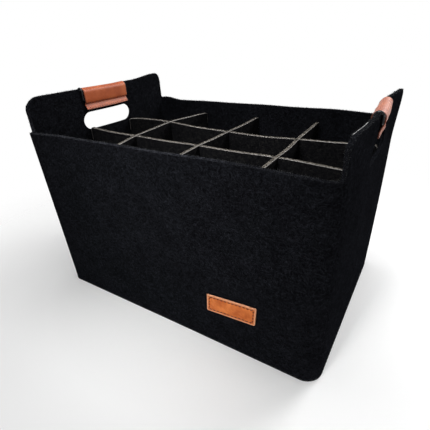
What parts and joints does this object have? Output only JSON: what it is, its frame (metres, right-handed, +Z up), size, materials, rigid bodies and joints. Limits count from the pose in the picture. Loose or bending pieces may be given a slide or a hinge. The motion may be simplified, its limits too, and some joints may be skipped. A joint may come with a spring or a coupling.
{
  "type": "bottle carrier box",
  "caption": "open soft felt box with a lift-out divider grid of cells for bottles, raised ends with hand slots and padded leather grips, and a small blank leather patch",
  "frame": {"origin": "centre of the box's underside, on the ground", "axes": "+X along the long front to the right, +Y from the front with the patch to the back, +Z up"},
  "size_m": [0.3966, 0.27, 0.261],
  "materials": {
    "felt": "matt black needle felt with fuzzy edges",
    "divider_felt": "matt black felt with sealed, slightly glossy cut edges",
    "pad_felt": "matt black felt",
    "board": "bare brown hardboard",
    "grip_leather": "smooth vegetable tanned leather, light tan",
    "patch_leather": "smooth tan leather with dark stitches"
  },
  "bodies": {
    "root": {"side_band": "felt", "base_panel": "felt", "base_board": "board", "long_divider_front": "divider_felt", "long_divider_back": "divider_felt", "cross_divider_left": "divider_felt", "cross_divider_centre": "divider_felt", "cross_divider_right": "divider_felt", "left_grip_pad": "pad_felt", "right_grip_pad": "pad_felt", "left_grip_leather": "grip_leather", "right_grip_leather": "grip_leather", "front_patch": "patch_leather"}
  },
  "joints": []
}
